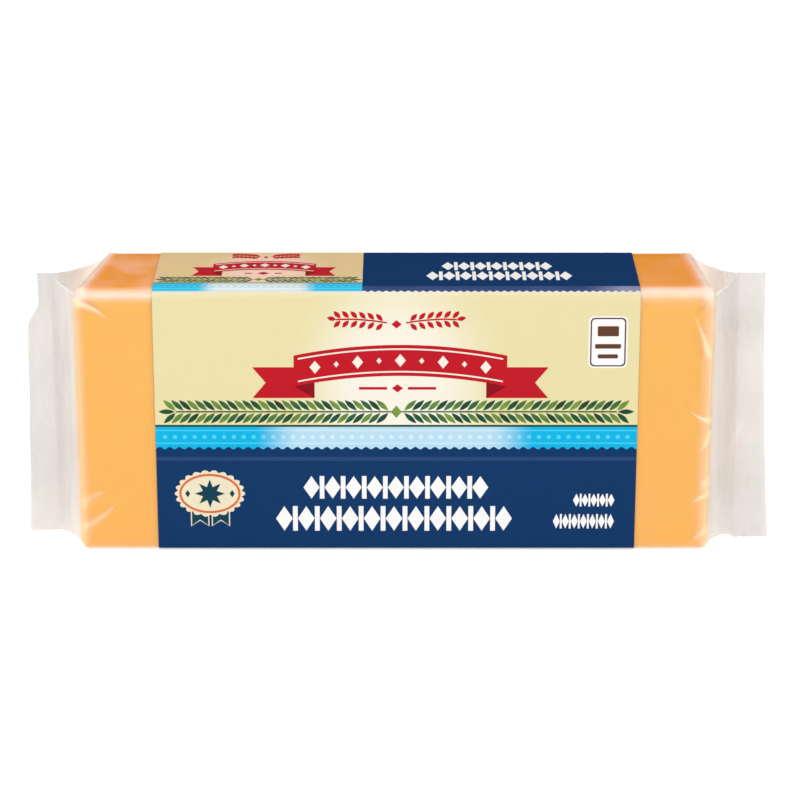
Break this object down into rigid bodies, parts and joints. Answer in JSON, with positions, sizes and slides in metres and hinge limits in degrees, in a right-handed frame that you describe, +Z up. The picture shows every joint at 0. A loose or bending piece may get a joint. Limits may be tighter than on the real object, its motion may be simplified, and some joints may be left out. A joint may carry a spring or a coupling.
{
  "type": "cheddar block",
  "caption": "Rectangular block of orange cheddar sealed in clear film with flat end seals and a printed band, standing on its long narrow side.",
  "frame": {"origin": "middle of the printed band's flat underside, below the middle of the bar, on the surface it stands on", "axes": "+X along the bar to the right as seen from the front, +Y from the front face to the back face, +Z up"},
  "size_m": [0.1585, 0.0282, 0.0581],
  "materials": {
    "cheese": "smooth orange cheese under close clear film",
    "film": "thin clear film, milky where two layers are sealed",
    "print": "satin ink in cream, blue and navy on the film"
  },
  "bodies": {
    "root": {"cheese_block": "cheese", "film_end_left": "film", "film_end_right": "film", "printed_band": "print"}
  },
  "joints": []
}
